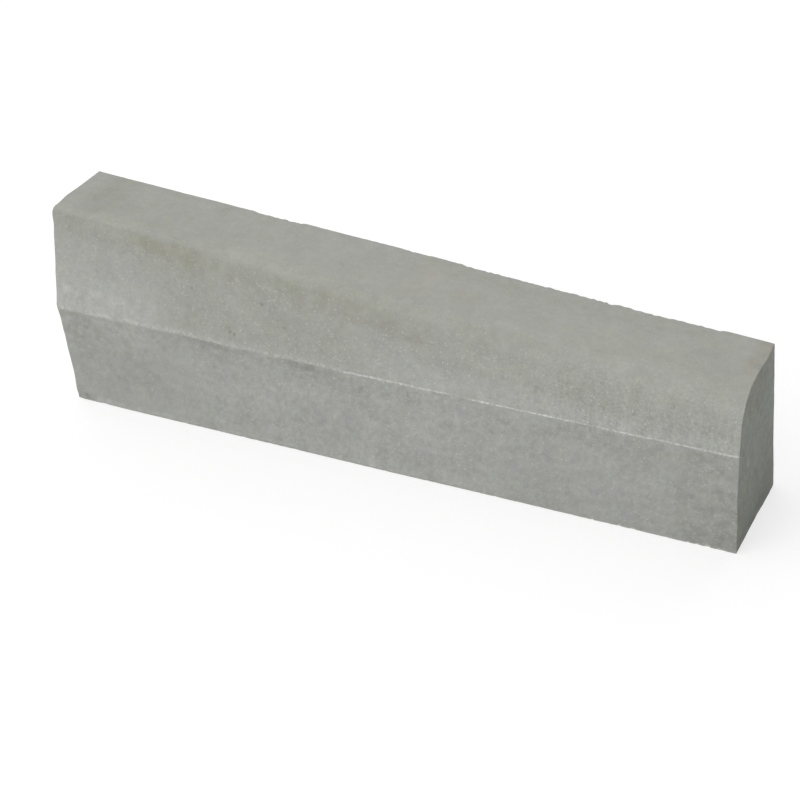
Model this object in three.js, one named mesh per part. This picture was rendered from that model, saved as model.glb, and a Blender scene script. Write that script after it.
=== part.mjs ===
// Transition kerb stone, precast in concrete as one piece, one metre long.
// At its high end it meets a high kerb (150 x 300) and at its low end a round-nosed kerb (150 x 220).
// The battered road face is one plane all the way, while the top falls and the nose grows rounder.
//
// Millimetres, +Z up. X runs along the stone from the high end to the low end, the road lies on
// the -Y side, and the origin is the middle of the bed.

import * as THREE from 'three';
import { mergeVertices } from 'three/addons/utils/BufferGeometryUtils.js';

// Driving dimensions
const length = 1000;
const width = 150;
const highEndHeight = 300;
const lowEndHeight = 220;
const creaseHeight = 150; // the road face stands upright up to the crease and leans back above it
const batterAngle = Math.atan(1 / 5); // the lean of the upper road face, 1 in 5
const highEndNoseRadius = 15;
const lowEndNoseRadius = 50;
const creaseRadius = 12;
const topArrisRadius = 3; // the arris at the back of the top
const bedArrisRadius = 1.5; // the two arrises along the bed
const endArrisRadius = 1; // the arrises round the two end faces

// Facets in each rounding
const noseSteps = 18;
const creaseSteps = 2;
const arrisSteps = 4;

// The directions that the faces look in, as angles in the cross-section from +Y towards +Z
const bedAngle = (3 * Math.PI) / 2;
const plinthAngle = Math.PI;
const roadFaceAngle = Math.PI - batterAngle;
const topAngle = Math.PI / 2;
const backAngle = 0;
const bedAngleFromBack = -Math.PI / 2;

// Where the rounding of the crease has its centre, touching the plinth and the battered face.
function creaseCentre() {
  const drop = creaseRadius * Math.tan(batterAngle / 2);
  return { y: creaseRadius, z: creaseHeight - drop };
}

// Where the rounding of the nose has its centre, touching the battered face and the top.
function noseCentre(height, radius) {
  const z = height - radius;
  const setBack = (z - creaseHeight) * Math.tan(batterAngle);
  return { y: setBack + radius / Math.cos(batterAngle), z };
}

// The five roundings of the cross-section, in order from the bed over the road face to the back.
// Straight faces run from the end of each to the start of the next.
function roundings(height, noseRadius) {
  return [
    {
      centre: { y: bedArrisRadius, z: bedArrisRadius },
      radius: bedArrisRadius,
      from: bedAngle,
      to: plinthAngle,
      steps: arrisSteps,
    },
    {
      centre: creaseCentre(),
      radius: creaseRadius,
      from: plinthAngle,
      to: roadFaceAngle,
      steps: creaseSteps,
    },
    {
      centre: noseCentre(height, noseRadius),
      radius: noseRadius,
      from: roadFaceAngle,
      to: topAngle,
      steps: noseSteps,
    },
    {
      centre: { y: width - topArrisRadius, z: height - topArrisRadius },
      radius: topArrisRadius,
      from: topAngle,
      to: backAngle,
      steps: arrisSteps,
    },
    {
      centre: { y: width - bedArrisRadius, z: bedArrisRadius },
      radius: bedArrisRadius,
      from: backAngle,
      to: bedAngleFromBack,
      steps: arrisSteps,
    },
  ];
}

// The outline of the stone at x, drawn in by inset on every side.
// The arcs keep their centres and lose the inset from their radii, so the straight faces move in too.
function outline(x, inset) {
  const share = x / length + 0.5;
  const height = THREE.MathUtils.lerp(highEndHeight, lowEndHeight, share);
  const noseRadius = THREE.MathUtils.lerp(highEndNoseRadius, lowEndNoseRadius, share);
  const points = [];
  for (const arc of roundings(height, noseRadius)) {
    for (let step = 0; step <= arc.steps; step += 1) {
      const angle = THREE.MathUtils.lerp(arc.from, arc.to, step / arc.steps);
      const y = arc.centre.y + (arc.radius - inset) * Math.cos(angle);
      const z = arc.centre.z + (arc.radius - inset) * Math.sin(angle);
      points.push(new THREE.Vector3(x, y - width / 2, z));
    }
  }
  return points;
}

// The stations along the stone: close together round each end's arris, with one long loft between.
function outlinesAlongStone() {
  const highEndArris = [];
  const lowEndArris = [];
  for (let step = 0; step <= arrisSteps; step += 1) {
    const turn = ((Math.PI / 2) * step) / arrisSteps;
    const x = length / 2 - endArrisRadius * (1 - Math.cos(turn));
    const inset = endArrisRadius * (1 - Math.sin(turn));
    highEndArris.push(outline(-x, inset));
    lowEndArris.unshift(outline(x, inset));
  }
  return [...highEndArris, ...lowEndArris];
}

// A closed skin over outlines that have the same number of points: side walls and two flat ends.
function loft(outlines) {
  const pointCount = outlines[0].length;
  const triangles = [];
  for (let ring = 0; ring < outlines.length - 1; ring += 1) {
    const here = ring * pointCount;
    const beyond = here + pointCount;
    for (let point = 0; point < pointCount; point += 1) {
      const next = (point + 1) % pointCount;
      triangles.push(here + point, beyond + point, beyond + next);
      triangles.push(here + point, beyond + next, here + next);
    }
  }

  const flat = outlines[0].map((p) => new THREE.Vector2(p.y, p.z));
  const last = (outlines.length - 1) * pointCount;
  for (const [a, b, c] of THREE.ShapeUtils.triangulateShape(flat, [])) {
    triangles.push(a, c, b);
    triangles.push(last + a, last + b, last + c);
  }

  const geometry = new THREE.BufferGeometry().setFromPoints(outlines.flat());
  geometry.setIndex(triangles);
  return mergeVertices(geometry);
}

const concrete = new THREE.MeshStandardMaterial({
  color: 0xa3a49c,
  roughness: 0.92,
  metalness: 0,
});

const kerbStone = new THREE.Mesh(loft(outlinesAlongStone()), concrete);
kerbStone.name = 'kerb_stone';
kerbStone.geometry.computeVertexNormals();

const part = new THREE.Group();
part.add(kerbStone);

export default part;
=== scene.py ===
import math

import bmesh
import bpy
import numpy as np
from mathutils import Euler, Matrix, Vector, geometry, kdtree, noise


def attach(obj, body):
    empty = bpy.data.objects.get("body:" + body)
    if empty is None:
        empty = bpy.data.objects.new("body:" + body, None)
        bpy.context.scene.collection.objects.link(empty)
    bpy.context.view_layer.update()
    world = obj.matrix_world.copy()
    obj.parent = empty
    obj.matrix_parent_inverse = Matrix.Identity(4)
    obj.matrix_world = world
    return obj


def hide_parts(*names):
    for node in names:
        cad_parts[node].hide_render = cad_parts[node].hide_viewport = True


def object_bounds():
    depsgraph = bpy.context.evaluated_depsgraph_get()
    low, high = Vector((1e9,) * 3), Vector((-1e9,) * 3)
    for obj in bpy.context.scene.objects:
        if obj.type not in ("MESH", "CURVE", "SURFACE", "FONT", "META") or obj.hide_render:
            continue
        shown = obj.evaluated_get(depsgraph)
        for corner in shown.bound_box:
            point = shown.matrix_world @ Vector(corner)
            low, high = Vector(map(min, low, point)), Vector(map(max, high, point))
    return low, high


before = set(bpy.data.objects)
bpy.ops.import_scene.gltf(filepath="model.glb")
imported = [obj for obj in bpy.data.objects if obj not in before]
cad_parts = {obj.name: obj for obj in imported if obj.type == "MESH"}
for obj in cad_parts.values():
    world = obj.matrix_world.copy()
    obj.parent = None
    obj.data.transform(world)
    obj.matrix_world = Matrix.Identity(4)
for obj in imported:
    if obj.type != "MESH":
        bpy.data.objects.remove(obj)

cadLow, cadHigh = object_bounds()
mm = 0.001  # the stone is worked out in millimetres, and Blender's unit is the metre
print("frame loaded, CAD box in mm:", [round(side / mm) for side in cadHigh - cadLow])


def linearColour(hexText):
    # an sRGB hex colour, as a colour picker shows it, as the linear values that shaders take
    channels = []
    for start in (0, 2, 4):
        value = int(hexText[start:start + 2], 16) / 255
        channels.append(value / 12.92 if value <= 0.04045 else ((value + 0.055) / 1.055) ** 2.4)
    return (*channels, 1.0)


def addNode(tree, kind, settings, inputs):
    # one node with its settings; an input takes a plain value or another node's output
    node = tree.nodes.new(kind)
    for name, value in settings.items():
        setattr(node, name, value)
    for name, value in inputs.items():
        if isinstance(value, bpy.types.NodeSocket):
            tree.links.new(value, node.inputs[name])
        else:
            node.inputs[name].default_value = value
    return node


def mixed(start, end, share):
    return start + (end - start) * share


def smoothStep(low, high, value):
    share = np.clip((value - low) / (high - low), 0, 1)
    return share * share * (3 - 2 * share)


def patchAlong(x, fromX, toX, fade):
    # 1 between the two places and 0 beyond them, with soft ends
    return smoothStep(fromX - fade, fromX + fade, x) * (1 - smoothStep(toX - fade, toX + fade, x))


def grainNoise(points, grainSize, seed):
    # smooth random values from about -1 to 1, with lumps of grainSize millimetres; each seed reads
    # a part of the noise far from the others
    shift = Vector((17.3 * seed, -9.1 * seed, 5.7 * seed))
    return np.array([noise.noise(Vector(point) / grainSize + shift) for point in points])


def noiseAlong(x, grainSize, seed):
    return grainNoise(np.column_stack([x, 0 * x, 0 * x]), grainSize, seed)


# The camera stands off the road side, towards the low end, and looks down on the stone.
camera = {
    "place": (1.0298, -1.7980, 1.5150),
    "turn": (54.883, 4.762, 26.489),  # degrees about X, Y and Z
    "lens": 83.19,  # mm
    "sensor": 36,  # mm
}

cameraData = bpy.data.cameras.new("camera")
cameraData.lens = camera["lens"]
cameraData.sensor_width = camera["sensor"]
cameraObject = bpy.data.objects.new("camera", cameraData)
cameraObject.location = camera["place"]
cameraObject.rotation_euler = Euler([math.radians(angle) for angle in camera["turn"]])
bpy.context.scene.collection.objects.link(cameraObject)
bpy.context.scene.camera = cameraObject
print("camera placed")


# The cast stone. Its outline starts at the crease and goes up the battered face, over the nose
# and the top, down the back, along the bed and up the plinth to the crease again.
kerb = {
    "length": (cadHigh.x - cadLow.x) / mm,
    "width": (cadHigh.y - cadLow.y) / mm,
    "highEndHeight": cadHigh.z / mm,
    "lowEndHeight": 220.5,
    "creaseHeight": 150,
    "batter": math.atan(1 / 5),  # the lean of the road face above the crease
    "highEndNose": 15,
    "lowEndNose": 50,
    "topArris": 2.6,
    "topArrisAtLowEnd": 1.0,
    "topKept": (424, 438),  # from here on the back arris of the top is narrow and still whole
    "bedArris": 1.5,
    "endArris": 0.8,
    "draft": 0.9,  # how much further out the plinth stands at its foot, so that the mould lets go
    "bow": (-430, 60, 60, 0.6),  # from x, to x, fade and how much further still the foot bows out there
    "holding": (0.5, 1.6),  # extra rows this far from the ends' arrises keep the shading crisp
    "arrisSteps": 4,
    "stationPitch": 3.0,
    "roadPitch": 3.0,
    "backPitch": 6,
    "bedPitch": 9,
    "capPitch": 3.6,
    "capClear": (0.9, 0.6),  # least distance from the rim, as shares of the holding and of the pitch
}

# Climb says where a point is on the way round the outline. It grows evenly over each face of the
# road side, from 0 at the foot of the plinth, and is one number on each of the others.
climbAt = {
    "joint": 1,
    "noseStart": 2,
    "noseEnd": 3,
    "backEdge": 4,
    "back": 5,
    "bed": 6,
    "ends": 7,
}

seeds = {"fin": 11, "lip": 12, "chips": 21, "ripples": 22, "pits": 8}

# The two halves of the mould meet at the crease. On the high part of the stone the upper half
# leaves a ragged lip over the plinth, and from there on a thin fin of cement stands in the joint.
crease = {
    "rows": (0.25, 0.6, 1.0, 1.5, 2.2, 3.1, 4.4, 6.2),  # distances from the joint that rows lie at
    "limit": 60,  # nothing of the joint shows further from it than this
    "changeAt": -40,  # where the lip ends and the fin starts
    "blend": 9,
    "lipLift": (2.7, -0.5),  # the joint is higher at the lip, and highest at the high end
    "lipLiftOver": (-300, -100),
    "finLift": (1.7, 0.6),  # and comes down to the crease along the fin
    "finLiftOver": (110, 170),
    "lipRagged": (13, 1.0),  # grain and height of the lip's wavy edge
    "lipFiner": (2.6, 0.6),  # how much finer and weaker the small waves on it are
    "finRagged": (16, 0.7),  # grain and height of the fin's
    "raggedRows": (3.3, 8.1, 5.7),  # where the two waves of the lip and the one of the fin read the noise
    "lipDepth": 0.2,
    "lipUneven": (38, 0.7, 0.8),  # grain, middle and swing of the share of that depth
    "lipLeast": 0.1,
    "lipEdge": 1.2,  # the plinth drops back over this distance below the joint
    "lipFade": 9,  # and comes out again over this one
    "hollows": [(-236, 28, 0.4), (-99, 15, 0.5), (-480, 24, 0.3)],  # x, reach and depth
    "finHeight": 0.85,
    "finHalfWidth": 0.85,
    "finThick": (12, 48, 0.3),  # x, reach and how much wider the fin is there
    "finBead": (9, 0.9, 0.3, 0.2, 1.2),  # grain, middle, swing, least and most of the share of its height
    "finGaps": [  # x, reach and loss
        (52, 38, 0.3),
        (126, 15, 0.95),
        (308, 28, 0.55),
        (391, 28, 0.35),
        (455, 40, 0.1),
    ],
}


def lipShare(x):
    # 1 where the joint is a lip and 0 where it is a fin
    return 1 - smoothStep(crease["changeAt"] - crease["blend"], crease["changeAt"] + crease["blend"], x)


def creaseHeightAt(x):
    # the height of the joint at x, which wavers up and down
    grain, height = crease["lipRagged"]
    finer, weaker = crease["lipFiner"]
    lipRow, finerRow, finRow = crease["raggedRows"]
    wavy = noise.noise(Vector((x / grain, lipRow, 0)))
    wavy += weaker * noise.noise(Vector((x / grain * finer, finerRow, 0)))
    finGrain, finHeight = crease["finRagged"]
    finLift = mixed(*crease["finLift"], smoothStep(*crease["finLiftOver"], x))
    finLift += finHeight * noise.noise(Vector((x / finGrain, finRow, 0)))
    lipLift = mixed(*crease["lipLift"], smoothStep(*crease["lipLiftOver"], x))
    return kerb["creaseHeight"] + finLift + (lipLift + height * wavy) * lipShare(x)


def sectionAt(x):
    # the runs of the outline at x: a line by its ends, an arc by its centre, radius and two angles
    share = x / kerb["length"] + 0.5
    height = mixed(kerb["highEndHeight"], kerb["lowEndHeight"], share)
    nose = mixed(kerb["highEndNose"], kerb["lowEndNose"], share)
    batter, bedArris = kerb["batter"], kerb["bedArris"]
    topArris = mixed(kerb["topArris"], kerb["topArrisAtLowEnd"], smoothStep(*kerb["topKept"], x))
    front, back = -kerb["width"] / 2, kerb["width"] / 2
    noseZ = height - nose
    noseY = front + (noseZ - kerb["creaseHeight"]) * math.tan(batter) + nose / math.cos(batter)
    noseStart = (noseY - nose * math.cos(batter), noseZ + nose * math.sin(batter))
    joint = (front, creaseHeightAt(x))
    return {
        "batter": ("line", joint, noseStart),
        "nose": ("arc", (noseY, noseZ), nose, math.pi - batter, math.pi / 2),
        "top": ("line", (noseY, height), (back - topArris, height)),
        "topArris": ("arc", (back - topArris, height - topArris), topArris, math.pi / 2, 0),
        "back": ("line", (back, height - topArris), (back, bedArris)),
        "rearArris": ("arc", (back - bedArris, bedArris), bedArris, 0, -math.pi / 2),
        "bed": ("line", (back - bedArris, 0), (front + bedArris, 0)),
        "frontArris": ("arc", (front + bedArris, bedArris), bedArris, -math.pi / 2, -math.pi),
        "plinth": ("line", (front, bedArris), joint),
    }


def runLength(run):
    return math.dist(run[1], run[2]) if run[0] == "line" else run[2] * abs(run[4] - run[3])


def walk(runs, distances):
    # y, z and the outward normal at these distances along runs that follow one another
    ends = np.cumsum([runLength(run) for run in runs])
    rows = []
    for distance in distances:
        index = min(int(np.searchsorted(ends, distance)), len(runs) - 1)
        run = runs[index]
        share = 1 - (ends[index] - distance) / runLength(run)
        if run[0] == "line":
            (y0, z0), (y1, z1) = run[1], run[2]
            size = runLength(run)
            rows.append((mixed(y0, y1, share), mixed(z0, z1, share), (z0 - z1) / size, (y1 - y0) / size))
        else:
            angle = mixed(run[3], run[4], share)
            across, up = math.cos(angle), math.sin(angle)
            rows.append((run[1][0] + run[2] * across, run[1][1] + run[2] * up, across, up))
    return np.array(rows)


def outlineAt(x, counts):
    # one ring at x: rows of y, z, normal y, normal z, climb and distance above the joint
    section = sectionAt(x)
    near = np.array(crease["rows"])
    upper = [section[name] for name in ("batter", "nose", "top")]
    lengths = np.array([runLength(run) for run in upper])
    girth = lengths.sum()
    reach = np.concatenate([[0], near, np.linspace(near[-1], girth, counts["road"] + 1)[1:]])
    stops = [climbAt[name] for name in ("joint", "noseStart", "noseEnd", "backEdge")]
    climb = np.interp(reach, np.concatenate([[0], np.cumsum(lengths)]), stops)
    parts = [np.column_stack([walk(upper, reach), climb, reach])]
    for face, names in (("back", ("topArris", "back", "rearArris")), ("bed", ("bed", "frontArris"))):
        for name in names:
            run = section[name]
            count = counts.get(name, kerb["arrisSteps"])
            steps = walk([run], np.arange(1, count + 1) / count * runLength(run))
            parts.append(np.column_stack([steps, np.full(count, climbAt[face]), np.full(count, girth)]))
    size = runLength(section["plinth"])
    drop = np.concatenate([np.linspace(size, near[-1], counts["plinth"] + 1)[1:], near[-2::-1]])
    climb = climbAt["joint"] - drop / size
    parts.append(np.column_stack([walk([section["plinth"]], size - drop), climb, -drop]))
    return np.vstack(parts)


def stations():
    # places of the rings: x, the inset of the rounded end arris and how far the normal turns to the end
    arris, half = kerb["endArris"], kerb["length"] / 2
    steps = range(kerb["arrisSteps"] + 1)
    turns = [math.pi / 2 * step / kerb["arrisSteps"] for step in steps]
    lowEnd = [(half - arris * (1 - math.cos(t)), arris * (1 - math.sin(t)), math.cos(t)) for t in turns]
    close = [half - arris - gap for gap in kerb["holding"]]
    count = round(2 * close[-1] / kerb["stationPitch"])
    between = [(x, 0, 0) for x in (-close[0], *np.linspace(-close[-1], close[-1], count + 1), close[0])]
    highEnd = [(-x, inset, -lean) for x, inset, lean in lowEnd]
    return highEnd + between + lowEnd[::-1]


def wallRows():
    # every ring's points, normals, climb and distance above the joint, as arrays of rings by rows
    middle = sectionAt(0)
    counts = {
        "road": round(sum(runLength(middle[n]) for n in ("batter", "nose", "top")) / kerb["roadPitch"]),
        "plinth": round(runLength(middle["plinth"]) / kerb["roadPitch"]),
        "back": round(runLength(middle["back"]) / kerb["backPitch"]),
        "bed": round(runLength(middle["bed"]) / kerb["bedPitch"]),
    }
    points, normals, climbs, reaches = [], [], [], []
    for x, inset, lean in stations():
        rows = outlineAt(x, counts)
        sideways = math.sqrt(1 - lean * lean)
        points.append(np.column_stack([np.full(len(rows), x), rows[:, :2] - inset * rows[:, 2:4]]))
        normals.append(np.column_stack([np.full(len(rows), lean), rows[:, 2:4] * sideways]))
        climbs.append(rows[:, 4] if abs(lean) < 1 else np.full(len(rows), climbAt["ends"]))
        reaches.append(rows[:, 5])
    return np.array(points), np.array(normals), np.array(climbs), np.array(reaches)


def insideOutline(ring, y, z):
    # whether a line from (y, z) towards +Y crosses the outline an odd number of times
    here, beyond = ring, np.roll(ring, -1, axis=0)
    crosses = (here[:, 1] > z) != (beyond[:, 1] > z)
    rise = np.where(crosses, beyond[:, 1] - here[:, 1], 1)
    at = here[:, 0] + (z - here[:, 1]) / rise * (beyond[:, 0] - here[:, 0])
    return np.count_nonzero(crosses & (y < at)) % 2 == 1


def capMesh(ring):
    # a flat end as triangles: its outline is the given ring of (y, z), with an even grid inside
    outline = [Vector(point) for point in ring]
    low, high = ring.min(axis=0), ring.max(axis=0)
    pitch = kerb["capPitch"]
    gap = kerb["holding"][0]
    gapClear, pitchClear = kerb["capClear"]
    rim = kdtree.KDTree(len(ring))
    for index, point in enumerate(ring):
        rim.insert((*point, 0), index)
    rim.balance()
    along = np.roll(ring, -1, axis=0) - np.roll(ring, 1, axis=0)
    along /= np.maximum(np.linalg.norm(along, axis=1), 1e-9)[:, None]
    held = ring + gap * np.column_stack([along[:, 1], -along[:, 0]])
    inside = []
    for y, z in held:
        if rim.find((y, z, 0))[2] > gap * gapClear and insideOutline(ring, y, z):
            inside.append(Vector((y, z)))
    for row, z in enumerate(np.arange(low[1] + pitch / 2, high[1], pitch * math.sqrt(3) / 2)):
        for y in np.arange(low[0] + (row % 2) * pitch / 2, high[0], pitch):
            if rim.find((y, z, 0))[2] > pitch * pitchClear and insideOutline(ring, y, z):
                inside.append(Vector((y, z)))
    count = len(outline)
    edges = [(index, (index + 1) % count) for index in range(count)]
    found = geometry.delaunay_2d_cdt(outline + inside, edges, [], 1, 1e-6)  # 1: only inside the edges
    return np.array([tuple(v) for v in found[0]]), [list(face) for face in found[2]], found[3]


def stoneMesh():
    # vertices, normals, climb, distance above the joint and faces of the whole stone, still even
    points, normals, climbs, reaches = wallRows()
    rings, rows = climbs.shape
    faces = []
    for ring in range(rings - 1):
        for row in range(rows):
            here, beyond = ring * rows, (ring + 1) * rows
            nextRow = (row + 1) % rows
            faces.append((here + row, beyond + row, beyond + nextRow, here + nextRow))
    parts = [(points.reshape(-1, 3), normals.reshape(-1, 3), climbs.ravel(), reaches.ravel())]
    total = rings * rows
    for ring, side in ((0, -1), (rings - 1, 1)):
        # an end shares the ring's own vertices, and only those inside it are new
        flat, triangles, origins = capMesh(points[ring, :, 1:])
        numbers = {}
        fresh = []
        for index, origin in enumerate(origins):
            if origin and min(origin) < rows:
                numbers[index] = ring * rows + min(origin)
            else:
                numbers[index] = total + len(fresh)
                fresh.append(index)
        count = len(fresh)
        total += count
        across = np.full(count, points[ring, 0, 0])
        facing = np.tile((side, 0, 0), (count, 1))
        ends = np.full(count, float(climbAt["ends"]))
        beyond = np.full(count, 2.0 * crease["limit"])
        parts.append((np.column_stack([across, flat[fresh]]), facing, ends, beyond))
        for triangle in triangles:
            corners = [numbers[index] for index in triangle]
            faces.append(tuple(corners if side > 0 else corners[::-1]))
    merged = [np.concatenate(columns) for columns in zip(*parts)]
    return (*merged, faces)


def lipDepthAt(x):
    # how far the plinth is set back under the lip, deeper in a few hollows
    grain, middle, swing = crease["lipUneven"]
    depth = crease["lipDepth"] * (middle + swing * noiseAlong(x, grain, seeds["lip"]))
    for centre, reach, extra in crease["hollows"]:
        depth += extra * np.exp(-((x - centre) / reach) ** 2)
    return np.maximum(depth, crease["lipLeast"]) * lipShare(x)


def finShare(x):
    # how much of the fin is left: beaded, and nearly gone in a few places
    grain, middle, swing, least, most = crease["finBead"]
    bead = middle + swing * noiseAlong(x, grain, seeds["fin"])
    left = (1 - lipShare(x)) * np.clip(bead, least, most)
    for centre, reach, loss in crease["finGaps"]:
        left *= 1 - loss * np.exp(-((x - centre) / reach) ** 4)
    return left


def finHalfWidth(x):
    centre, reach, extra = crease["finThick"]
    return crease["finHalfWidth"] * (1 + extra * np.exp(-((x - centre) / reach) ** 4))


def creaseOffset(points, reach):
    # the lip and the fin at the mould joint, as a height along the normal
    x = points[:, 0]
    below = np.maximum(0, -reach)
    undercut = (1 - np.exp(-below / crease["lipEdge"])) * np.exp(-below / crease["lipFade"])
    ridge = np.exp(-(reach / finHalfWidth(x)) ** 2)
    offset = crease["finHeight"] * finShare(x) * ridge - lipDepthAt(x) * undercut
    return np.where(np.abs(reach) < crease["limit"], offset, 0)


# Worn arrises: how far from the arris the wear reaches, the depth of ripples and of chips, the
# length of a chip and the most that can be missing, all in mm. At the bed and the ends more than
# the arris's own rounding would fold the mesh, while the top breaks off at 45 degrees.
wear = {
    "top": (5.0, 0.35, 0.6, 19, 9.0),
    "bed": (2.8, 0.1, 0.8, 7, 0.85),
    "ends": (2.2, 0.1, 0.5, 19, 0.65),
    "least": 0.01,  # wear weaker than this share of its depth is left out
    "rippleGrain": 6,
    "ragged": 0.65,  # how unevenly it breaks where pieces are broken off
    "chipFrom": 0.15,  # values of the noise between which chips start and are full
    "chipTo": 0.7,
    "paleChips": (310, 490, 14, 3),  # from x, to x, fade and strength of the fresh chips along the bed
    "broken": {  # from x, to x, fade and depth of what is broken off besides
        "top": [
            (-520, -244, 8, 0.75),
            (-241, -167, 4, 1.9),
            (-10, 28, 5, 0.6),
            (46, 78, 5, 0.5),
            (76, 366, 6, 2.05),
            (270, 287, 3, 1.4),
            (331, 350, 4, 0.5),
            (366, 431, 4, 1.15),
        ],
        "bed": [(320, 485, 12, 0.15), (-457, -447, 3, 0.8)],
    },
    "smoother": {"top": [(-520, -244, 8, 0.75)]},  # from x, to x, fade and how much less rough it is
    "topBreak": (0, -0.7071, -0.7071),  # the way that the top's arris is moved where it is broken
    "corners": [  # knocked corners: place, reach and how far they are pressed in along each axis
        ((-500, -52, 277), 13, (0.6, 0.8, -0.2)),
        ((-500, -75, 4), 9, (0.9, 1.2, 0.3)),
        ((500, 75, 221), 5, (-0.3, -0.2, -0.1)),
    ],
}


def arrisDistances(points):
    # how far each point is from the top's back arris, from those of the bed and from those of the ends
    x, y, z = points.T
    height = mixed(kerb["highEndHeight"], kerb["lowEndHeight"], x / kerb["length"] + 0.5)
    half = kerb["width"] / 2
    top = np.hypot(y - half, z - height)
    bed = np.minimum(np.hypot(y - half, z), np.hypot(y + half, z))
    toEnd = kerb["length"] / 2 - np.abs(x)
    roadFace = -half + np.maximum(0, z - kerb["creaseHeight"]) * math.tan(kerb["batter"])
    toOutline = np.minimum.reduce([height - z, half - y, z, y - roadFace])
    return {"top": top, "bed": bed, "ends": np.hypot(toEnd, np.maximum(0, toOutline))}


def wearShift(points, normals):
    # how wear and chips move the points near the arrises, and how chipped the bed's arrises are
    chipped = np.zeros(len(points))
    missing = {name: np.zeros(len(points)) for name in ("top", "bed", "ends")}
    for name, distance in arrisDistances(points).items():
        reach, rippleDepth, chipDepth, chipGrain, most = wear[name]
        near = np.exp(-(distance / reach) ** 2)
        touched = near > wear["least"]
        x = points[touched, 0]
        rough = np.ones(len(x))
        for fromX, toX, fade, less in wear["smoother"].get(name, ()):
            rough -= less * patchAlong(x, fromX, toX, fade)
        lumps = grainNoise(points[touched], chipGrain, seeds["chips"])
        chip = smoothStep(wear["chipFrom"], wear["chipTo"], lumps)
        ripple = grainNoise(points[touched], wear["rippleGrain"], seeds["ripples"]) * rough
        loss = chipDepth * chip * rough + rippleDepth * (0.5 + ripple)
        for fromX, toX, fade, broken in wear["broken"].get(name, ()):
            loss += broken * (1 + wear["ragged"] * ripple) * patchAlong(x, fromX, toX, fade)
        if name == "top":
            loss *= 1 - smoothStep(*kerb["topKept"], x)
        if name == "bed":
            chipped[touched] = near[touched] * chip
        missing[name][touched] = near[touched] * np.minimum(loss, most)
    shift = -normals * np.maximum(missing["bed"], missing["ends"])[:, None]
    shift += missing["top"][:, None] * np.array(wear["topBreak"])
    return shift, chipped


# The end plates of the mould are slightly out of true, so both ends swell in and out: y, z, reach
# along y and z, and how far along X the end is shifted there.
endPlates = {
    "fade": 60,
    "lowEnd": [
        (-75, 25, 50, 60, 1.5),
        (-75, 150, 45, 55, 1.8),
        (75, 0, 90, 60, 2.2),
        (30, 0, 40, 50, 0.8),
        (5, 225, 38, 45, -2.2),
        (75, 225, 26, 90, -2.8),
    ],
    "highEnd": [
        (-75, 55, 90, 45, 2.3),
        (-75, 42, 40, 20, 0.8),
        (-75, 102, 40, 9, 0.7),
        (-75, 162, 40, 14, -2.6),
        (-75, 188, 90, 22, -1.1),
        (-75, 208, 40, 6, -1.4),
        (-75, 276, 40, 42, 2.1),
        (-16, 300, 36, 40, -4.0),
        (-20, 300, 12, 30, 2.2),
        (-45, 285, 14, 13, 1.5),
        (75, 300, 30, 60, 1.2),
    ],
}


def shiftEnds(points):
    # moves both ends along X by as much as the mould's end plates are out of true
    x, y, z = points.T
    half = kerb["length"] / 2
    for name, side in (("lowEnd", 1), ("highEnd", -1)):
        shift = np.zeros(len(points))
        for atY, atZ, reachY, reachZ, along in endPlates[name]:
            shift += along * np.exp(-((y - atY) / reachY) ** 2 - ((z - atZ) / reachZ) ** 2)
        points[:, 0] += shift * smoothStep(half - endPlates["fade"], half, side * x)


# unevenness that the mould leaves: grain size and height in mm
relief = {
    "sway": (260, 0.4),
    "waves": (75, 0.24),
    "lumps": (24, 0.13),
    "sand": (9, 0.07),
}


def roughen(points, normals, reach):
    # moves the even mesh to the cast one, and returns the points and how chipped each one is
    offset = creaseOffset(points, reach)
    for seed, (grain, height) in enumerate(relief.values()):
        offset += height * grainNoise(points, grain, seed + 1)
    belowCrease = np.maximum(0, 1 - points[:, 2] / kerb["creaseHeight"])
    fromX, toX, fade, bow = kerb["bow"]
    further = kerb["draft"] + bow * patchAlong(points[:, 0], fromX, toX, fade)
    offset += further * belowCrease * np.maximum(0, -normals[:, 1])
    shift, chipped = wearShift(points, normals)
    moved = points + normals * offset[:, None] + shift
    for corner, size, pressed in wear["corners"]:
        moved += np.exp(-((points - corner) ** 2).sum(axis=1) / size ** 2)[:, None] * pressed
    moved[:, 2] = np.maximum(moved[:, 2], 0)
    shiftEnds(moved)
    return moved, chipped


# Pits of trapped air, with painted shade in their bowls. The placed ones are x, z and radius on the battered
# face.
pits = {
    "placed": [
        (-272, 226, 2.0),
        (-162, 222, 2.8),
        (-129, 196, 2.5),
        (-214, 174, 3.1),
        (-207, 171, 2.6),
        (-214, 180, 1.8),
    ],
    "scattered": 30,
    "tries": 4,  # times as many places are tried
    "clear": 9,  # least distance from the joint and the bed
    "apart": 15,
    "smallest": 0.7,
    "largest": 1.6,
    "depth": 0.24,  # as a share of the radius
    "uneven": (0.9, 0.45),  # lumps to the radius, and how much they change it
    "widest": 1.3,  # as a share of the radius
    "darken": 1.6,  # how much sooner the painted shade is full than the bowl is deep
    "cuts": 3,
    "cutAround": 2.6,  # faces up to this far outside a pit are divided too
}


def pitPlaces(mesh):
    # centre and radius of every pit, in millimetres
    places = []
    for x, z, radius in pits["placed"]:
        y = -kerb["width"] / 2 + (z - kerb["creaseHeight"]) * math.tan(kerb["batter"])
        places.append((Vector((x, y, z)), radius))
    random = np.random.default_rng(seeds["pits"])
    chosen = random.integers(0, len(mesh.polygons), pits["tries"] * pits["scattered"])
    for index in chosen:
        centre = mesh.polygons[int(index)].center / mm
        clear = min(abs(centre.z - kerb["creaseHeight"]), centre.z) > pits["clear"]
        apart = all((centre - other).length > pits["apart"] for other, _ in places)
        spread = random.random() ** 2  # most are small
        if clear and apart and len(places) < pits["scattered"] + len(pits["placed"]):
            places.append((centre, mixed(pits["smallest"], pits["largest"], spread)))
    return places


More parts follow.
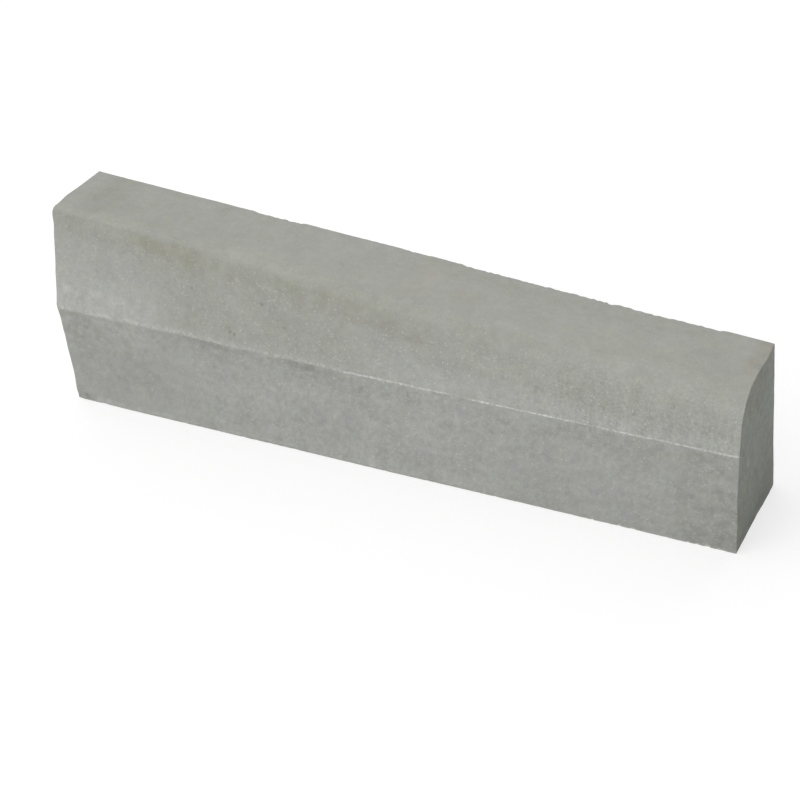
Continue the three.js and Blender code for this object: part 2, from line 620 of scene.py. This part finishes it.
def sinkPits(mesh):
    # divides the faces round each pit, presses the vertices in to a small bowl, and paints shade in the bowl
    bm = bmesh.new()
    bm.from_mesh(mesh)
    pitShadeLayer = bm.verts.layers.float["pitShade"]
    places = pitPlaces(mesh)
    tree = kdtree.KDTree(len(bm.faces))
    for face in bm.faces:
        tree.insert(face.calc_center_median(), face.index)
    tree.balance()
    bm.faces.ensure_lookup_table()
    bm.edges.ensure_lookup_table()
    chosen = set()
    for centre, radius in places:
        for _, index, _ in tree.find_range(centre * mm, (radius + pits["cutAround"]) * mm):
            chosen.update(edge.index for edge in bm.faces[index].edges)
    edges = [bm.edges[index] for index in sorted(chosen)]
    bmesh.ops.subdivide_edges(bm, edges=edges, cuts=pits["cuts"], use_grid_fill=True)
    bmesh.ops.triangulate(bm, faces=[face for face in bm.faces if len(face.verts) > 4])
    bm.normal_update()
    verts = kdtree.KDTree(len(bm.verts))
    for index, vert in enumerate(bm.verts):
        verts.insert(vert.co, index)
    verts.balance()
    bm.verts.ensure_lookup_table()
    lumps, uneven = pits["uneven"]
    for centre, radius in places:
        surface, nearest, _ = verts.find(centre * mm)
        inward = -bm.verts[nearest].normal.copy()
        for _, index, distance in verts.find_range(surface, radius * pits["widest"] * mm):
            vert = bm.verts[index]
            ragged = 1 + uneven * noise.noise(vert.co / (radius * mm) * lumps)
            share = distance / (radius * mm * ragged)
            bowl = math.sqrt(max(0, 1 - share * share))
            vert.co += inward * bowl * radius * pits["depth"] * mm
            vert[pitShadeLayer] = max(vert[pitShadeLayer], min(1, bowl * pits["darken"]))
    bm.to_mesh(mesh)
    bm.free()
    mesh.update()


# Marks that weather, damp and cement have left on the skin, with the colours of the concrete's
# coats; some patches are painted light and painted shade instead, as said beside them. Each patch
# is: from x, to x, fade, from climb, to climb, fade, strength.
marks = {
    "damp": [
        (-385, -15, 60, 2.0, 2.25, 0.4, 0.45),
        (-385, -235, 50, 2.05, 2.4, 0.4, 0.62),
        (-75, 105, 55, 1.9, 2.25, 0.3, 0.42),
        (90, 260, 50, 2.1, 2.5, 0.3, 0.2),
        (90, 520, 100, 1.65, 2.2, 0.25, 0.2),
        (-60, 90, 40, 2.35, 2.6, 0.15, 0.15),
        (-330, 0, 50, 1.25, 1.95, 0.3, 0.22),
        (-520, -365, 40, 2.0, 2.45, 0.25, 0.38),
        (-470, -425, 14, 3.2, 3.9, 0.3, 0.3),
        (440, 520, 30, 2.6, 3.1, 0.3, 0.12),
        (-430, -310, 30, 3.15, 3.6, 0.2, 0.13),
        (80, 460, 60, 3.75, 4.2, 0.2, 0.13),
        (330, 480, 60, 3.0, 3.5, 0.3, 0.1),
    ],
    "dust": [
        (478, 520, 8, 3.4, 4.2, 0.3, 0.4),
    ],
    "laitanceAndLight": [
        (-520, -335, 40, 1.0, 1.2, 0.45, 0.5),
        (-520, -380, 40, 1.05, 1.28, 0.1, 0.65),
        (-520, -330, 30, 1.02, 1.1, 0.06, 0.52),
        (-20, 420, 60, 1.0, 1.2, 0.35, 0.28),
        (-45, 5, 14, 0.955, 1.0, 0.02, 0.55),
        # painted light: this patch and the next lighten the foot of the plinth against the floor's contact
        # shade
        (-520, 180, 60, -0.1, 0.03, 0.06, 0.52),
        (-380, 200, 60, -0.1, 0.12, 0.15, 0.25),
        (-320, 150, 60, 0.3, 0.8, 0.25, 0.14),
    ],
    "cream": [
        (-520, -370, 40, 2.7, 3.0, 0.2, 0.25),
        (-320, -60, 60, 2.75, 3.0, 0.3, 0.22),
        (240, 400, 50, 2.9, 3.3, 0.3, 0.15),
        (100, 520, 90, 2.4, 2.7, 0.3, 0.1),
    ],
    "clay": [
        (20, 75, 30, 3.1, 3.9, 0.25, 0.1),
        (92, 132, 12, 3.2, 3.4, 0.15, 0.12),
        (480, 520, 8, 3.3, 4.2, 0.2, 0.2),
        (-70, -10, 30, 2.1, 2.35, 0.3, 0.08),
        (-350, -250, 50, 2.1, 2.3, 0.3, 0.08),
    ],
    "grimeAndShade": [
        (425, 520, 40, 0.1, 0.4, 0.55, 0.46),
        # painted shade with some dirt: the next four patches darken the plinth just below the crease, under
        # the lip and the fin
        (100, 230, 40, 0.85, 0.96, 0.1, 0.12),
        (240, 420, 50, 0.82, 0.96, 0.1, 0.3),
        (420, 520, 30, 0.76, 0.95, 0.1, 0.3),
        (-520, 70, 40, 0.86, 0.97, 0.12, 0.2),
        (-520, -310, 60, 0.3, 0.8, 0.15, 0.2),
        # painted shade with some dirt, just below the lip
        (-520, -430, 20, 0.75, 0.93, 0.1, 0.4),
        (-520, -470, 15, -0.1, 0.05, 0.05, 0.6),
    ],
}

# marks on the low end: y, z, reach along y and z, strength
endMarks = {
    "damp": [(-2, 209, 15, 9, 0.7), (-24, 194, 12, 14, 0.6), (-68, 40, 9, 50, 0.4)],
    "grimeAndShade": [(10, 185, 70, 40, 0.27)],
    # the middle patch on the next line is painted light along the foot of the end, against the floor's
    # contact shade
    "laitanceAndLight": [(-36, 114, 3.5, 5, 0.8), (10, 0, 110, 9, 0.4), (75, 120, 14, 70, 0.15)],
    "clay": [(-32, 77, 6, 7, 0.35)],
}


def paint(mesh, name, amount):
    mesh.attributes.new(name, "FLOAT", "POINT").data.foreach_set("value", amount.astype(np.float32))


def paintMarks(mesh, points, climb):
    # one number per vertex for each kind of mark, which the material breaks up with noise
    x, y, z = points.T
    lowEnd = (climb == climbAt["ends"]) & (x > 0)
    for name, patches in marks.items():
        amount = np.zeros(len(x))
        for atY, atZ, reachY, reachZ, strength in endMarks.get(name, ()):
            near = np.exp(-((y - atY) / reachY) ** 2 - ((z - atZ) / reachZ) ** 2)
            amount = np.maximum(amount, strength * near * lowEnd)
        for fromX, toX, fadeX, fromClimb, toClimb, fadeClimb, strength in patches:
            up = smoothStep(fromClimb - fadeClimb, fromClimb, climb)
            up = up * (1 - smoothStep(toClimb, toClimb + fadeClimb, climb))
            amount = np.maximum(amount, strength * patchAlong(x, fromX, toX, fadeX) * up)
        paint(mesh, name, amount)


# How strong each texture of the skin is on the plinth, the batter, the nose, the top, the back
# and bed, and the ends. Towards the low end the batter is coarser, with fine streaks down it.
skinTexture = {
    "tooth": (1.38, 1.5, 1.15, 1.0, 1.0, 2.25),  # open sandy grain
    "mottle": (1.35, 0.3, 0.3, 0.2, 0.7, 0.8),  # light and dark spots
    "grains": (0.7, 0.8, 0.5, 0.3, 0.5, 0.4),  # pale grains of sand and pinholes
}
smoother = {  # from x, to x, fade and how much weaker the textures are there
    "plinth": [(-520, -260, 70, 0.34), (170, 520, 80, 0.13)],
    "batter": [(-520, -240, 80, 0.13)],
}
coarseBatter = {
    "over": (120, 320),  # it comes in between these places
    "climbs": (1.0, 2.2, 2.8),  # full from the first to the second, and gone at the third
}
toneFade = {  # the batter's tone fades out on the nose
    "over": (-100, 150),
    "climb": (0.1, 0.8),  # how far up it does before and after these places
}


def paintSkin(mesh, x, climb):
    low, full, none = coarseBatter["climbs"]
    up = (climb >= low) * (1 - smoothStep(full, none, climb))
    coarse = up * smoothStep(*coarseBatter["over"], x)
    joint, noseStart, noseEnd, backEdge, _, bed, ends = climbAt.values()
    faces = [climb < joint, climb < noseStart, climb < noseEnd, climb <= backEdge, climb <= bed]
    kept = np.ones(len(x))
    for name, where in (("plinth", climb < joint), ("batter", (climb >= joint) & (climb < noseStart))):
        for fromX, toX, fade, weaker in smoother[name]:
            kept -= weaker * patchAlong(x, fromX, toX, fade) * where
    for name, levels in skinTexture.items():
        paint(mesh, name, kept * np.select(faces, levels[:-1], levels[-1]))
    paint(mesh, "streak", coarse)
    paint(mesh, "plinth", (climb < joint).astype(float))
    rise = mixed(*toneFade["climb"], smoothStep(*toneFade["over"], x))
    paint(mesh, "batter", (climb >= joint) * (1 - smoothStep(noseStart, noseStart + rise, climb)))
    # the ends' own grey, which is partly painted shade
    paint(mesh, "end", (climb == ends).astype(float))


# How the joint is painted: the fin, the pale flecks on the lip and painted shade, with some dirt, under it.
# Pairs are for the low and the high part of the stone.
jointPaint = {
    "highPartOver": (-320, -220),
    "finWidth": 1.35,  # as many times the fin's own half width
    "fleckAbove": (2.2, 3.6),
    "fleckWidth": 3,
    "fleckFrom": -0.4,
    "fleck": (0.38, 0.55),
    "shadeBelow": (6.5, 3.5),
    "shadeWidth": 4.5,
    "shade": 1.2,  # for each mm that the plinth is set back
}


def paintJoint(mesh, x, reach):
    roadSide = np.abs(reach) < crease["limit"]
    highPart = 1 - smoothStep(*jointPaint["highPartOver"], x)
    finLine = np.exp(-(reach / (jointPaint["finWidth"] * finHalfWidth(x))) ** 2)
    above = reach - mixed(*jointPaint["fleckAbove"], highPart)
    paleLine = np.exp(-(above / jointPaint["fleckWidth"]) ** 2) * (reach > jointPaint["fleckFrom"])
    below = reach + mixed(*jointPaint["shadeBelow"], highPart)
    shadeLine = np.exp(-(below / jointPaint["shadeWidth"]) ** 2)
    paint(mesh, "fin", finShare(x) * finLine * roadSide)
    paint(mesh, "fleck", mixed(*jointPaint["fleck"], highPart) * lipShare(x) * paleLine * roadSide)
    # painted shade, with some dirt, on the plinth below the lip
    paint(mesh, "shadeAndDirtUnderLip", np.minimum(1, jointPaint["shade"] * lipDepthAt(x)) * shadeLine * roadSide)


def makeStone():
    points, normals, climb, reach, faces = stoneMesh()
    print("even mesh:", len(points), "vertices")
    cast, chipped = roughen(points, normals, reach)
    x = points[:, 0]
    mesh = bpy.data.meshes.new("kerb_cast")
    mesh.from_pydata((cast * mm).tolist(), [], faces)
    paintJoint(mesh, x, reach)
    fromX, toX, fade, strength = wear["paleChips"]
    paint(mesh, "chip", np.minimum(1, strength * chipped) * patchAlong(x, fromX, toX, fade))
    # painted shade in the pits, filled in when they are sunk
    paint(mesh, "pitShade", np.zeros(len(x)))
    paintMarks(mesh, points, climb)
    paintSkin(mesh, x, climb)
    sinkPits(mesh)
    mesh.polygons.foreach_set("use_smooth", np.ones(len(mesh.polygons), bool))
    stone = bpy.data.objects.new("kerb_cast", mesh)
    bpy.context.scene.collection.objects.link(stone)
    triangles = sum(len(face.vertices) - 2 for face in mesh.polygons)
    print("stone made:", triangles, "triangles")
    return stone


# Precast concrete, vibrated in a steel mould: a closed matt skin of cement and fine sand. It is
# clouded at several sizes, with pale grains and pinholes, and a cooler grey below the crease.
concrete = {
    "skin": "A7A8A1",
    # the ends' darker grey is partly painted shade, on top of the shade from the tent's dark side
    "faces": {"plinth": "A1A29F", "batter": "A4A5A0", "end": "939690"},
    "roughness": 0.88,
    "coats": {  # colour, grain in mm, and how much noise of that grain breaks it up, from 0 to 1
        "damp": ("8F8F80", 20, 0.25),
        "dust": ("8F8F86", 22, 0.5),
        # pale cement, and painted light at the foot of the plinth and of the low end
        "laitanceAndLight": ("B8B9B6", 9, 0.5),
        "cream": ("B3B4A5", 18, 0.4),
        "clay": ("A0947F", 14, 0.5),
        # dirt, and painted shade below the crease
        "grimeAndShade": ("82837A", 12, 0.55),
        "chip": ("E0E0DA", 3, 0.2),
        "fleck": ("CCCCC6", 4, 0.75),
        "fin": ("D5D6D3", 4, 0.55),
        # painted shade, with some dirt, below the lip
        "shadeAndDirtUnderLip": ("8A8B84", 9, 0.4),
        # painted shade in the pits' bowls
        "pitShade": ("93938A", 3, 0.2),
    },
    # values of the noise that bare and cover the skin, and how they close in for a broken coat
    "bare": (0.34, 0.12),
    "covered": (0.66, -0.08),
    "coatMost": 1.3,  # how thick a coat gets where it covers
    "tints": [  # colour, grain in mm and strength of slight changes of hue
        ("A3A68E", 24, 0.15),
        ("9A9F99", 13, 0.15),
        ("A09DA3", 17, 0.12),
    ],
    "tintRange": (0.42, 0.68),  # values of the noise from which a tint shows and at which it is full
    "tintShift": (200, 90),  # mm to the first tint's place in the noise, and on to each next one's
    "clouds": [  # grain size in mm, and how much the brightness varies
        (110, 0.05),
        (32, 0.07),
        (12, 0.075),
        (5, 0.065),
        (2.4, 0.06),  # fine sand, drawn coarser than its 0.5 mm to show
    ],
    "cloudShift": (31, 7, 13),  # mm from each cloud's place in the noise to the next one's
    "coarseSand": [(2.0, 0.17), (4.8, 0.13)],  # grain in mm and contrast of the sand on the coarse batter
    "mottle": [  # width in mm, how many times longer, slope of the long way in degrees, and contrast
        (6, 1.7, 64, 0.24),
        (13, 2.6, 0, 0.15),
    ],
    "mottleFields": (55, 0.13),  # size in mm and contrast of the areas that are darker as a whole
    "streaks": [(3.6, 12, 0.09), (15, 4, 0.08)],  # width in mm, how many times longer, and contrast
    "specks": [  # spacing in mm, colour, radius in mm and strength
        (3.4, "CACAC4", 1.5, 1.0),  # pale grains of sand
        (4.2, "7C7D76", 1.3, 0.7),  # pinholes
        (10, "C0C1BC", 2.6, 0.6),  # spots of lime
    ],
    "speckChance": (0.66, 1.12),  # of the places for specks, only those with more than the first show
    "speckEdge": (1.2, 0.2),  # where a speck ends and where it is full, as shares of its radius
    "bump": [(1.7, 0.10), (5.5, 0.16)],  # grain size and height in mm of the sand's texture
}


def mixCoats(tree, perMm):
    # the colour of the skin: the faces' own, then the coats broken up by noise, then slight tints;
    # a mix takes its two colours at sockets 6 and 7, and gives the result at output 2
    colour = linearColour(concrete["skin"])
    for name, hexText in concrete["faces"].items():
        amount = addNode(tree, "ShaderNodeAttribute", {"attribute_name": name}, {}).outputs["Fac"]
        colour = addNode(tree, "ShaderNodeMix", {"data_type": "RGBA"}, {
            "Factor": amount, 6: colour, 7: linearColour(hexText)}).outputs[2]

    bare, bareShift = concrete["bare"]
    covered, coveredShift = concrete["covered"]
    for name, (hexText, grain, ragged) in concrete["coats"].items():
        laid = addNode(tree, "ShaderNodeAttribute", {"attribute_name": name}, {}).outputs["Fac"]
        broken = addNode(tree, "ShaderNodeTexNoise", {}, {
            "Vector": perMm, "Scale": 1 / grain, "Detail": 3}).outputs["Fac"]
        patchy = addNode(tree, "ShaderNodeMapRange", {}, {
            "Value": broken, "From Min": bare + bareShift * ragged,
            "From Max": covered + coveredShift * ragged,
            "To Min": 1 - ragged, "To Max": concrete["coatMost"]}).outputs["Result"]
        amount = addNode(tree, "ShaderNodeMath", {"operation": "MULTIPLY", "use_clamp": True}, {
            0: laid, 1: patchy}).outputs[0]
        colour = addNode(tree, "ShaderNodeMix", {"data_type": "RGBA"}, {
            "Factor": amount, 6: colour, 7: linearColour(hexText)}).outputs[2]

    firstShift, nextShift = concrete["tintShift"]
    low, high = concrete["tintRange"]
    for index, (hexText, grain, strength) in enumerate(concrete["tints"]):
        shifted = addNode(tree, "ShaderNodeMapping", {}, {
            "Vector": perMm, "Location": (firstShift + nextShift * index, 0, 0)}).outputs["Vector"]
        field = addNode(tree, "ShaderNodeTexNoise", {}, {
            "Vector": shifted, "Scale": 1 / grain, "Detail": 2}).outputs["Fac"]
        amount = addNode(tree, "ShaderNodeMapRange", {}, {
            "Value": field, "From Min": low, "From Max": high, "To Max": strength}).outputs["Result"]
        colour = addNode(tree, "ShaderNodeMix", {"data_type": "RGBA"}, {
            "Factor": amount, 6: colour, 7: linearColour(hexText)}).outputs[2]
    return colour


def shadeSkin(tree, perMm):
    # how bright the skin is around 1: clouds and sand, then mottling, then the coarse batter
    clouds = -sum(depth for _, depth in concrete["clouds"])
    for index, (grain, depth) in enumerate(concrete["clouds"]):
        shift = [step * index for step in concrete["cloudShift"]]
        shifted = addNode(tree, "ShaderNodeMapping", {}, {
            "Vector": perMm, "Location": shift}).outputs["Vector"]
        cloud = addNode(tree, "ShaderNodeTexNoise", {}, {
            "Vector": shifted, "Scale": 1 / grain, "Detail": 2}).outputs["Fac"]
        clouds = addNode(tree, "ShaderNodeMath", {"operation": "MULTIPLY_ADD"}, {
            0: cloud, 1: 2 * depth, 2: clouds}).outputs[0]
    tooth = addNode(tree, "ShaderNodeAttribute", {"attribute_name": "tooth"}, {}).outputs["Fac"]
    level = addNode(tree, "ShaderNodeMath", {"operation": "MULTIPLY_ADD"}, {
        0: clouds, 1: tooth, 2: 1.0}).outputs[0]

    size, depth = concrete["mottleFields"]
    fields = addNode(tree, "ShaderNodeTexNoise", {}, {
        "Vector": perMm, "Scale": 1 / size, "Detail": 1}).outputs["Fac"]
    darker = addNode(tree, "ShaderNodeMapRange", {"clamp": False}, {
        "Value": fields, "To Min": depth / 2, "To Max": -depth / 2}).outputs["Result"]
    for breadth, stretch, slope, depth in concrete["mottle"]:
        drawn = addNode(tree, "ShaderNodeMapping", {"vector_type": "TEXTURE"}, {
            "Vector": perMm, "Rotation": (0, -math.radians(slope), 0), "Scale": (stretch, 1, 1),
            }).outputs["Vector"]
        spots = addNode(tree, "ShaderNodeTexNoise", {}, {
            "Vector": drawn, "Scale": 1 / breadth, "Detail": 2}).outputs["Fac"]
        spotted = addNode(tree, "ShaderNodeMapRange", {"clamp": False}, {
            "Value": spots, "To Min": depth / 2, "To Max": -depth / 2}).outputs["Result"]
        darker = addNode(tree, "ShaderNodeMath", {}, {0: darker, 1: spotted}).outputs[0]
    mottle = addNode(tree, "ShaderNodeAttribute", {"attribute_name": "mottle"}, {}).outputs["Fac"]
    level = addNode(tree, "ShaderNodeMath", {"operation": "MULTIPLY_ADD"}, {
        0: darker, 1: mottle, 2: level}).outputs[0]

    contrast = 0.0
    coarseSand = [(grain, 1, depth) for grain, depth in concrete["coarseSand"]]
    for breadth, stretch, depth in concrete["streaks"] + coarseSand:
        drawn = addNode(tree, "ShaderNodeMapping", {}, {
            "Vector": perMm, "Scale": (1, 1 / stretch, 1 / stretch)}).outputs["Vector"]
        grit = addNode(tree, "ShaderNodeTexNoise", {}, {
            "Vector": drawn, "Scale": 1 / breadth, "Detail": 1}).outputs["Fac"]
        gritty = addNode(tree, "ShaderNodeMapRange", {"clamp": False}, {
            "Value": grit, "To Min": -depth, "To Max": depth}).outputs["Result"]
        contrast = addNode(tree, "ShaderNodeMath", {}, {0: contrast, 1: gritty}).outputs[0]
    streak = addNode(tree, "ShaderNodeAttribute", {"attribute_name": "streak"}, {}).outputs["Fac"]
    return addNode(tree, "ShaderNodeMath", {"operation": "MULTIPLY_ADD"}, {
        0: contrast, 1: streak, 2: level}).outputs[0]


def scatterSpecks(tree, perMm, colour):
    # dots of each kind laid over the colour, one to a cell, and shown in some of the cells only
    grains = addNode(tree, "ShaderNodeAttribute", {"attribute_name": "grains"}, {}).outputs["Fac"]
    rarest, surest = concrete["speckChance"]
    rim, core = concrete["speckEdge"]
    for spacing, hexText, radius, strength in concrete["specks"]:
        cells = addNode(tree, "ShaderNodeTexVoronoi", {}, {"Vector": perMm, "Scale": 1 / spacing})
        chance = addNode(tree, "ShaderNodeSeparateXYZ", {}, {"Vector": cells.outputs["Color"]}).outputs["X"]
        bright = addNode(tree, "ShaderNodeMapRange", {"interpolation_type": "SMOOTHSTEP"}, {
            "Value": chance, "From Min": rarest, "From Max": surest, "To Max": strength}).outputs["Result"]
        dot = addNode(tree, "ShaderNodeMapRange", {}, {
            "Value": cells.outputs["Distance"], "From Min": rim * radius / spacing,
            "From Max": core * radius / spacing}).outputs["Result"]
        shown = addNode(tree, "ShaderNodeMath", {"operation": "MULTIPLY"}, {0: bright, 1: dot}).outputs[0]
        amount = addNode(tree, "ShaderNodeMath", {"operation": "MULTIPLY"}, {0: shown, 1: grains}).outputs[0]
        colour = addNode(tree, "ShaderNodeMix", {"data_type": "RGBA"}, {
            "Factor": amount, 6: colour, 7: linearColour(hexText)}).outputs[2]
    return colour


def castConcrete():
    material = bpy.data.materials.new("vibrated precast concrete")
    material.use_nodes = True
    tree = material.node_tree
    tree.nodes.clear()
    place = addNode(tree, "ShaderNodeTexCoord", {}, {}).outputs["Object"]
    perMm = addNode(tree, "ShaderNodeVectorMath", {"operation": "SCALE"}, {
        0: place, "Scale": 1 / mm}).outputs[0]
    coats = mixCoats(tree, perMm)
    shaded = addNode(tree, "ShaderNodeVectorMath", {"operation": "SCALE"}, {
        0: coats, "Scale": shadeSkin(tree, perMm)}).outputs[0]
    colour = scatterSpecks(tree, perMm, shaded)

    height = 0.0
    for grain, size in concrete["bump"]:
        sand = addNode(tree, "ShaderNodeTexNoise", {}, {
            "Vector": perMm, "Scale": 1 / grain, "Detail": 2}).outputs["Fac"]
        height = addNode(tree, "ShaderNodeMath", {"operation": "MULTIPLY_ADD"}, {
            0: sand, 1: size, 2: height}).outputs[0]
    bump = addNode(tree, "ShaderNodeBump", {}, {"Height": height, "Distance": mm}).outputs["Normal"]

    surface = addNode(tree, "ShaderNodeBsdfPrincipled", {}, {
        "Base Color": colour, "Roughness": concrete["roughness"], "Normal": bump})
    addNode(tree, "ShaderNodeOutputMaterial", {}, {"Surface": surface.outputs["BSDF"]})
    return material


stone = makeStone()
stone.data.materials.append(castConcrete())
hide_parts("kerb_stone")
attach(stone, "root")
print("concrete laid on the stone")


# A pale studio under an even white tent, darker on the low end's side, with one soft lamp at the
# upper left of the road side.
studio = {
    "lampFrom": (-0.08, -0.09, 0.08),  # its size in each direction is the light that a face there gets
    "lampWidth": 40,  # degrees
    "tent": 1.17,
    "darkSide": 0.1,
    "darkFrom": 0.12,  # how far round towards the low end the tent starts to darken, from 0 to 1
    "darkTo": 0.55,
    "floorSize": 40,
    "floorPaint": "F4F4F2",
    "floorGlow": 0.66,  # how much of its white the camera sees without shading, and how much with
    "floorShaded": 0.4,
}

lamp = bpy.data.lights.new("softbox", "SUN")
lamp.energy = math.pi * Vector(studio["lampFrom"]).length
lamp.angle = math.radians(studio["lampWidth"])
lampObject = bpy.data.objects.new("softbox", lamp)
lampObject.rotation_euler = Vector(studio["lampFrom"]).to_track_quat("Z", "Y").to_euler()
bpy.context.scene.collection.objects.link(lampObject)

world = bpy.data.worlds.new("studio tent")
world.use_nodes = True
bpy.context.scene.world = world
tent = world.node_tree
tent.nodes.clear()
direction = addNode(tent, "ShaderNodeTexCoord", {}, {}).outputs["Generated"]
towardsLowEnd = addNode(tent, "ShaderNodeSeparateXYZ", {}, {"Vector": direction}).outputs["X"]
light = addNode(tent, "ShaderNodeMapRange", {"interpolation_type": "SMOOTHSTEP"}, {
    "Value": towardsLowEnd, "From Min": studio["darkFrom"], "From Max": studio["darkTo"],
    "To Min": studio["tent"], "To Max": studio["darkSide"]}).outputs["Result"]
seen = addNode(tent, "ShaderNodeLightPath", {}, {}).outputs
mirrored = addNode(tent, "ShaderNodeMath", {"operation": "MAXIMUM"}, {
    0: seen["Is Glossy Ray"], 1: seen["Is Transmission Ray"]}).outputs[0]
white = addNode(tent, "ShaderNodeMath", {"operation": "MAXIMUM"}, {
    0: seen["Is Camera Ray"], 1: mirrored}).outputs[0]
strength = addNode(tent, "ShaderNodeMapRange", {}, {
    "Value": white, "To Min": light, "To Max": 1.0}).outputs["Result"]
glow = addNode(tent, "ShaderNodeBackground", {}, {"Color": (1, 1, 1, 1), "Strength": strength})
addNode(tent, "ShaderNodeOutputWorld", {}, {"Surface": glow.outputs["Background"]})

floorMesh = bpy.data.meshes.new("studio_floor")
half = studio["floorSize"] / 2
corners = [(-half, -half, 0), (half, -half, 0), (half, half, 0), (-half, half, 0)]
floorMesh.from_pydata(corners, [], [(0, 1, 2, 3)])
floor = bpy.data.objects.new("studio_floor", floorMesh)
bpy.context.scene.collection.objects.link(floor)

# Matt white studio board: the camera sees part of its white without shading, so that it stays
# white with a pale shadow, while the stone gets only the light that the paint gives back.
board = bpy.data.materials.new("matt white board")
board.use_nodes = True
tree = board.node_tree
tree.nodes.clear()
whitePaint = addNode(tree, "ShaderNodeBsdfDiffuse", {}, {"Color": linearColour(studio["floorPaint"])})
shaded = addNode(tree, "ShaderNodeBsdfDiffuse", {}, {"Color": (*[studio["floorShaded"]] * 3, 1)})
plain = addNode(tree, "ShaderNodeEmission", {}, {"Color": (1, 1, 1, 1), "Strength": studio["floorGlow"]})
seenBoard = addNode(tree, "ShaderNodeAddShader", {}, {0: shaded.outputs[0], 1: plain.outputs[0]})
toCamera = addNode(tree, "ShaderNodeLightPath", {}, {}).outputs["Is Camera Ray"]
either = addNode(tree, "ShaderNodeMixShader", {}, {
    0: toCamera, 1: whitePaint.outputs[0], 2: seenBoard.outputs[0]})
addNode(tree, "ShaderNodeOutputMaterial", {}, {"Surface": either.outputs[0]})
floorMesh.materials.append(board)

bpy.context.scene.view_settings.view_transform = "Standard"
print("studio lit")
